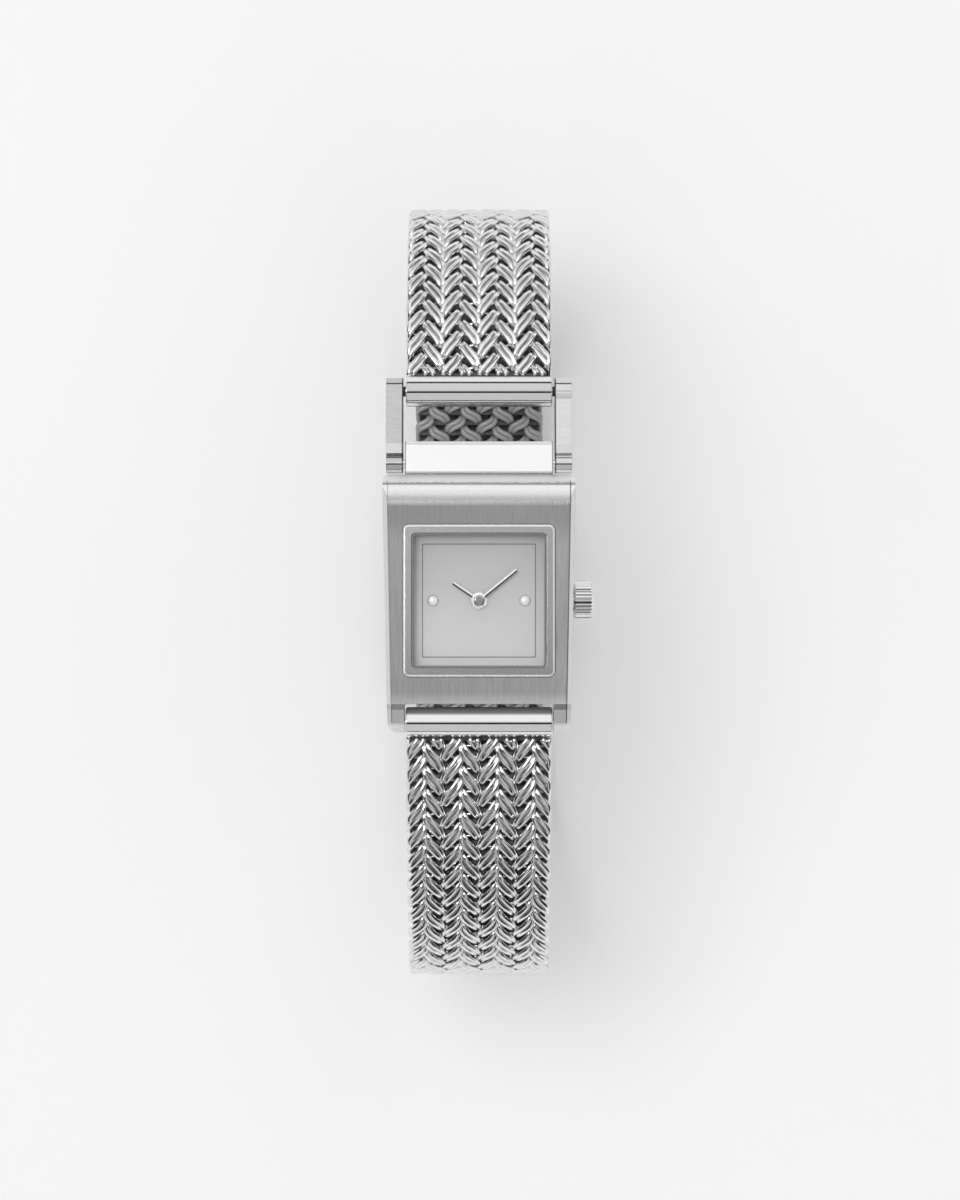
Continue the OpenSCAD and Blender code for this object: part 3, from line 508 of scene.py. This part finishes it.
BY_SLOT = {
    "case_steel": case_material(),
    "polished_steel": polished("polished_steel"),
    "mesh_steel": wire_material(),
    "crystal_glass": glass_material(),
    "dial_silver": dial_material(),
    "gasket_rubber": plain_matt("gasket_rubber", grey(0.012), grey(0.03), 0.6, bumpy=0.3),
    # the white gasket is painted dark grey, as the shade at the rim's inner edge
    "white_gasket": plain_matt("white_gasket", grey(0.15), grey(0.18), 0.5),
    "holder_plastic": plain_matt(
        "holder_plastic", (0.60, 0.57, 0.48), (0.68, 0.65, 0.56), 0.5, bumpy=0.2
    ),
    "brass": plain_metal("brass", (0.62, 0.42, 0.14), (0.76, 0.55, 0.22), 0.25),
    "cell_steel": plain_metal("cell_steel", grey(0.55), grey(0.68), 0.2),
    "coil_copper": plain_metal("coil_copper", (0.52, 0.19, 0.06), (0.68, 0.28, 0.10), 0.3),
    "board_green": plain_matt("board_green", (0.015, 0.07, 0.03), (0.02, 0.11, 0.05), 0.4),
}
BY_NODE = {
    # the left arm is painted darker than the right, as shade
    "left_arm": arm_material("arm_steel_left", 0.54, 0.58),
    "right_arm": arm_material("arm_steel_right", 0.67, 0.72),
    "upper_tube": tube_material("tube_steel_upper", 0.62, 0.85, 0.62),
    "lower_tube": tube_material("tube_steel_lower", 0.84, 0.24, 0.57),
    "cross_pin": pin_material(),
    "slider_sleeve": brushed_steel("sleeve_steel", 0.50, 0.62),
    "lock_lever": brushed_steel("lever_steel", 0.54, 0.66),
    "crown": crown_material(),
    "dial_ring": ring_material(),
    "dial_dots": dot_material(),
    "hour_hand": hand_material("hour_steel", HOUR_TURN, 1),
    "minute_hand": hand_material("minute_steel", MINUTE_TURN, -1),
    # the hand cap is polished steel painted darker, as shade
    "hand_cap": polished("cap_steel", 0.46, 0.52, 0.10),
}

for part in frame["record"]["subparts"]:
    slots = nodes[part["node"]].data.materials
    slots.clear()
    slots.append(BY_NODE.get(part["node"]) or BY_SLOT[part["material_slot"]])


# ---------------------------------------------------------------- path of the mesh

def advance(at, radius, run):
    """State after a run, which is a radius and a turn, or no radius and the length of a straight."""
    u, z, heading = at
    if not radius:
        return (u + run * math.cos(heading), z - run * math.sin(heading), heading)
    after = heading + run
    return (
        u + radius * (math.sin(after) - math.sin(heading)),
        z + radius * (math.cos(after) - math.cos(heading)),
        after,
    )


class HalfLoop:
    """One half of the loop: distance from the dial centre, height and heading along its length."""

    def __init__(self, side, start, reach, lead, end_u):
        self.side = side
        u, _, heading = start
        bend = reach - u - lead * math.cos(heading) - SIDE_BEND * (1 - math.sin(TURN_DOWN))
        bend /= math.sin(TURN_DOWN) - math.sin(heading)
        quarter = math.pi / 2
        runs = [(0, lead), (bend, TURN_DOWN - heading), (SIDE_BEND, quarter - TURN_DOWN)]
        at = start
        for run in runs:
            at = advance(at, *run)
        runs += [(0, at[1] - LOW_BEND - FLAT_Z), (LOW_BEND, quarter), (0, reach - LOW_BEND - end_u)]
        self.starts, self.runs, self.at_s = [], runs, [0.0]
        at = start
        for radius, run in runs:
            self.starts.append(at)
            self.at_s.append(self.at_s[-1] + (radius * run if radius else run))
            at = advance(at, radius, run)
        self.first = TUBE_R + WIRE_START
        self.last = self.at_s[-1] - CLIP_LEN + WIRE_IN_CLIP

    def place(self, s, x, off):
        """Points at length s, x across the band and off outwards from its middle, as arrays."""
        s, x, off = np.broadcast_arrays(np.asarray(s, float), x, off)
        u, z, h = np.zeros_like(s), np.zeros_like(s), np.zeros_like(s)
        which = np.clip(np.searchsorted(self.at_s, s, side="right") - 1, 0, len(self.runs) - 1)
        for i, (radius, _) in enumerate(self.runs):
            here = which == i
            if not here.any():
                continue
            u0, z0, h0 = self.starts[i]
            run = s[here] - self.at_s[i]
            if radius:
                turned = h0 + run / radius
                u[here] = u0 + radius * (np.sin(turned) - math.sin(h0))
                z[here] = z0 + radius * (np.cos(turned) - math.cos(h0))
                h[here] = turned
            else:
                u[here] = u0 + run * math.cos(h0)
                z[here] = z0 - run * math.sin(h0)
                h[here] = h0
        return np.stack([x, self.side * (u + off * np.sin(h)), z + off * np.cos(h)], axis=-1)


CROSS_Y = HINGE_Y + ARM_LEN * math.cos(ARM_SLOPE)
CROSS_Z = HINGE_Z - ARM_LEN * math.sin(ARM_SLOPE)
BAR_U = CASE_DOWN + TUBE_GAP + TUBE_R
UPPER = HalfLoop(1, (CROSS_Y, CROSS_Z, LEAVE_UPPER), UPPER_REACH, UPPER_LEAD, CLIP_Y)
LOWER = HalfLoop(-1, (BAR_U, BAR_Z, LEAVE_LOWER), LOWER_REACH, LOWER_LEAD, -TAIL_Y)


# ---------------------------------------------------------------- mesh helpers

def add_object(name, points, faces, material, smooth=True):
    mesh = bpy.data.meshes.new(name)
    mesh.from_pydata([tuple(p) for p in points], [], faces)
    mesh.validate()
    mesh.polygons.foreach_set("use_smooth", [smooth] * len(mesh.polygons))
    mesh.materials.append(material)
    made = bpy.data.objects.new(name, mesh)
    bpy.context.scene.collection.objects.link(made)
    return made


def tube_rings(line, radius, sides):
    """Rings of points round a line, square to it, with no twist between them."""
    ahead = np.gradient(line, axis=0)
    ahead /= np.linalg.norm(ahead, axis=1)[:, None]
    aside = (0.3, 0.5, 0.8)  # no line starts along this direction
    across = np.cross(ahead[0], aside)
    rings = []
    angles = np.arange(sides) * 2 * math.pi / sides
    for point, direction in zip(line, ahead):
        across = across - direction * (across @ direction)
        across /= np.linalg.norm(across)
        up = np.cross(direction, across)
        round_it = np.cos(angles)[:, None] * across + np.sin(angles)[:, None] * up
        rings.append(point + radius * round_it)
    return np.array(rings)


def ring_faces(count, sides, start):
    """Quads between rings, and a cap on each end."""
    faces = []
    for r in range(count - 1):
        a = start + r * sides
        for k in range(sides):
            n = (k + 1) % sides
            faces.append((a + k, a + n, a + sides + n, a + sides + k))
    faces.append(tuple(start + k for k in reversed(range(sides))))
    faces.append(tuple(start + (count - 1) * sides + k for k in range(sides)))
    return faces


# ---------------------------------------------------------------- woven mesh

COLUMNS = 8
COLUMN_W = BAND_W / COLUMNS
# a leaf is the outer run of a pair of wires, and the two pairs of each column show by turns
LEAF_PITCH = 2.29 * MM
TURN_PITCH = 2 * LEAF_PITCH
PHASE = 0.83 * MM
WIRE_R = 0.30 * MM
HALF_W = 0.80 * MM
HALF_T = BAND_T / 2 - WIRE_R
# the wires of a pair stand this far from their middle, across the band and along it
PAIR_OUT = 0.25 * MM
PAIR_RISE = 0.16 * MM
# part of the distance across that is left where a pair turns round the column's side
PAIR_AT_TURN = 0.3
# how far a leaf's ends are drawn out along the band
LEAN_EXTRA = 0.3 * MM
# exponents below 1 make the waves of a wire squarer: across the band, through it and along it
ACROSS_POWER = 0.9
THROUGH_POWER = 0.4
ALONG_POWER = 0.5
# turns before the tube, and turns in all beyond the length of the mesh, which are cut off
TURNS_BEFORE = 2
TURNS_SPARE = 5
STEPS_PER_TURN = 18
# least distance from a cut end to the next point of a wire, in steps
CUT_MARGIN = 0.05
WIRE_SIDES = 6

ROD_R = 0.13 * MM
ROD_OFF = 0.34 * MM
ROD_PHASE = 0.76 * MM
ROD_INSET = 0.55 * MM

# strip inside the weave: half its thickness and the height of its ribs, then its edges and ends
STRIP_HALF = 0.22 * MM
STRIP_RIB = 0.1 * MM
STRIP_INSET = 0.5 * MM
STRIP_END = 0.15 * MM
STRIP_PAST = CLIP_LEN - 0.6 * MM
STRIP_STEPS = 8


def power(value, exponent):
    return np.sign(value) * np.abs(value) ** exponent


def column_wires(half, column):
    """The wires of one column: pairs of flattened helices whose upper runs show as slanted leaves.

    The two wires of a pair lie side by side, and neighbouring columns lean the other way and are half
    a leaf apart, so that their leaves hook into each other at the seams.
    """
    even = 1 if column % 2 == 0 else -1
    hand = even * half.side
    middle = (column + 0.5) * COLUMN_W - BAND_W / 2
    shift = LEAF_PITCH / 2 if even < 0 else 0
    turns = int((half.last - half.first) / TURN_PITCH) + TURNS_SPARE
    angle = 2 * math.pi * np.arange(turns * STEPS_PER_TURN + 1) / STEPS_PER_TURN
    swing = np.sin(angle)
    apart = PAIR_AT_TURN + (1 - PAIR_AT_TURN) * np.sqrt(np.abs(np.cos(angle)))
    rise = power(np.cos(angle), ALONG_POWER)
    for start in (PHASE, PHASE + LEAF_PITCH):
        for wire in (-1, 1):
            s = half.first + start + shift - TURNS_BEFORE * TURN_PITCH
            s = s + TURN_PITCH * angle / (2 * math.pi)
            s = s + LEAN_EXTRA * swing - half.side * wire * rise * PAIR_RISE
            x = middle + even * wire * apart * PAIR_OUT + hand * HALF_W * power(swing, ACROSS_POWER)
            off = HALF_T * power(np.cos(angle), THROUGH_POWER)
            numbers = np.arange(len(s))
            cuts = np.interp((half.first, half.last), s, numbers)
            between = np.arange(math.ceil(cuts[0] + CUT_MARGIN), cuts[1] - CUT_MARGIN)
            steps = np.concatenate([cuts[:1], between, cuts[1:]])
            s, x, off = (np.interp(steps, numbers, values) for values in (s, x, off))
            yield half.place(s, np.clip(x, WIRE_R - BAND_W / 2, BAND_W / 2 - WIRE_R), off)


def cross_rods(half):
    """Thin straight wires across the band, which show in the holes between the leaves."""
    edge = BAND_W / 2 - ROD_INSET
    for number in range(int((half.last - half.first - 2 * ROD_PHASE) / (LEAF_PITCH / 2))):
        s = half.first + ROD_PHASE + number * LEAF_PITCH / 2
        yield half.place([s, s], [-edge, edge], ROD_OFF)


def weave(half, name, node):
    """The wires of one half, which stand for the mesh solid of the node."""
    points, faces = [], []
    lines = [(line, WIRE_R) for column in range(COLUMNS) for line in column_wires(half, column)]
    lines += [(line, ROD_R) for line in cross_rods(half)]
    count = 0
    for line, radius in lines:
        rings = tube_rings(line, radius, WIRE_SIDES)
        faces += ring_faces(len(rings), WIRE_SIDES, count)
        count += rings.shape[0] * WIRE_SIDES
        points.append(rings.reshape(-1, 3))
    made = add_object(name, np.concatenate(points), faces, BY_SLOT["mesh_steel"])
    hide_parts(node)
    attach(made, "band")


def weave_core(half, name, material):
    """Thin ribbed strip inside the weave, with a thicker tongue at each end."""
    s = np.arange(half.first, half.last, LEAF_PITCH / STRIP_STEPS)
    thick = STRIP_HALF + STRIP_RIB * np.cos(2 * math.pi * s / LEAF_PITCH * 2)
    near_end = (TUBE_R - TONGUE_IN, half.first, half.first + STRIP_END)
    far_end = (half.last - STRIP_END, half.last, half.last + STRIP_PAST)
    s = np.concatenate([near_end, s[2:-2], far_end])
    thick = np.concatenate([[CORE_T / 2] * 3, thick[2:-2], [CORE_T / 2] * 3])
    edge = BAND_W / 2 - STRIP_INSET
    corners = ((-edge, 1), (edge, 1), (edge, -1), (-edge, -1))
    rings = np.stack([half.place(s, x, side * thick) for x, side in corners], axis=1)
    faces = ring_faces(len(s), len(corners), 0)
    made = add_object(name, rings.reshape(-1, 3), faces, material, smooth=False)
    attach(made, "band")


# the strip inside the weave is painted dark, as the shade between the wires
core = core_material()
for half, word in ((UPPER, "upper"), (LOWER, "lower")):
    weave(half, word + "_weave", word + "_mesh")
    weave_core(half, word + "_weave_core", core)


# ---------------------------------------------------------------- floor, light and camera

CASE_TOP = (0, 0, 0.05)
FLOOR_HALF = 4.0
FLOOR_DROP = 0.02 * MM
CARD_STEPS = 8
END_CARD_X = 3.2
END_CARD_Y = 3
END_CARD_Z = (0.35, 2.6)
WORLD_LEVEL = 0.76


def floor_material():
    """Pale paper."""
    made = Shader("floor_paper", Roughness=0.9)
    made.feed("Base Color", made.tint(made.cloud(9), grey(0.92), grey(0.94)))
    made.bump(made.cloud(700), 0.05, 0.05 * MM)
    return made.material


signs = ((-1, -1), (1, -1), (1, 1), (-1, 1))
corners = [(x * FLOOR_HALF, y * FLOOR_HALF, -FLOOR_DROP) for x, y in signs]
floor = add_object("floor", corners, [(0, 1, 2, 3)], floor_material())


def softbox(name, place, aim, size, radiance):
    """Rectangular lamp of one even brightness, turned to face a point."""
    lamp = bpy.data.lights.new(name, "AREA")
    lamp.shape = "RECTANGLE"
    lamp.size, lamp.size_y = size
    lamp.energy = radiance * math.pi * size[0] * size[1]
    made = bpy.data.objects.new(name, lamp)
    bpy.context.scene.collection.objects.link(made)
    made.location = place
    made.rotation_mode = "QUATERNION"
    made.rotation_quaternion = (Vector(aim) - Vector(place)).to_track_quat("-Z", "Y")
    made.visible_camera = False
    return made


def only_reflected(piece):
    """Let a piece show in reflections alone."""
    piece.visible_camera = piece.visible_diffuse = False
    piece.visible_transmission = piece.visible_shadow = False


def card(number, level, radius, angles, reach):
    """Curved studio card over the object along X, seen only in reflections.

    Its angles are in degrees from straight up towards twelve o'clock, and reach is its extent along X.
    """
    made = Shader("card_%d" % number, Roughness=1.0, Emission_Strength=1.0, Base_Color=(0, 0, 0, 1))
    made.feed("Emission Color", made.tint(made.cloud(2), grey(level * 0.98), grey(level * 1.02)))
    steps = np.radians(np.linspace(*angles, CARD_STEPS + 1))
    arc = [(radius * math.sin(a), CASE_TOP[2] + radius * math.cos(a)) for a in steps]
    points = [(x, y, z) for y, z in arc for x in reach]
    faces = [(2 * i, 2 * i + 1, 2 * i + 3, 2 * i + 2) for i in range(CARD_STEPS)]
    only_reflected(add_object("card_%d" % number, points, faces, made.material))


def end_card(side):
    """Upright dark card at an end of the X axis."""
    low, high = END_CARD_Z
    made = Shader("end_card", Roughness=1.0)
    made.feed("Base Color", made.tint(made.cloud(2), grey(0.02), grey(0.03)))
    outline = ((-END_CARD_Y, low), (END_CARD_Y, low), (END_CARD_Y, high), (-END_CARD_Y, high))
    points = [(side * END_CARD_X, y, z) for y, z in outline]
    only_reflected(add_object("end_card", points, [(0, 1, 2, 3)], made.material))


# a wide lamp for soft shadows, and a smaller one that only the metal mirrors
softbox("key_box", (-0.25, 0.20, 0.94), CASE_TOP, (0.50, 0.50), 3.3).visible_glossy = False
softbox("glint_box", (-0.27, 0.09, 0.94), CASE_TOP, (0.30, 0.34), 8.0).visible_diffuse = False

# level, radius, angles and reach of each card
CARDS = (
    (1.0, 3.0, (-90, -80), (-1.5, 1.5)),
    (0.15, 3.0, (-80, -72), (-1.5, 1.5)),
    (0.62, 3.0, (-72, -15), (-1.5, 1.5)),
    (0.02, 3.0, (-15, -2), (-1.5, 1.5)),
    (0.55, 3.0, (-2, 5), (-1.5, 1.5)),
    (0.99, 3.0, (5, 62), (-3, 3)),
    (0.06, 3.0, (62, 76), (-1.5, 1.5)),
    (1.05, 3.0, (76, 90), (-1.5, 1.5)),
    (0.02, 2.8, (-70, -20), (-2.9, -0.8)),
    (0.02, 2.8, (-70, -20), (0.8, 2.9)),
)
for number, settings in enumerate(CARDS):
    card(number, *settings)
for side in (-1, 1):
    end_card(side)

world = bpy.data.worlds.new("studio")
world.use_nodes = True
world.node_tree.nodes["Background"].inputs[0].default_value = (WORLD_LEVEL, WORLD_LEVEL, WORLD_LEVEL, 1)
bpy.context.scene.world = world

camera_data = bpy.data.cameras.new("camera")
camera_data.lens = 94.5
camera_data.sensor_width = 36
camera_data.clip_start, camera_data.clip_end = 0.01, 20
camera = bpy.data.objects.new("camera", camera_data)
camera.location = (0.095 * MM, 0.057 * MM, 350.1 * MM)
bpy.context.scene.collection.objects.link(camera)
bpy.context.scene.camera = camera

bpy.context.scene.view_settings.view_transform = "Standard"
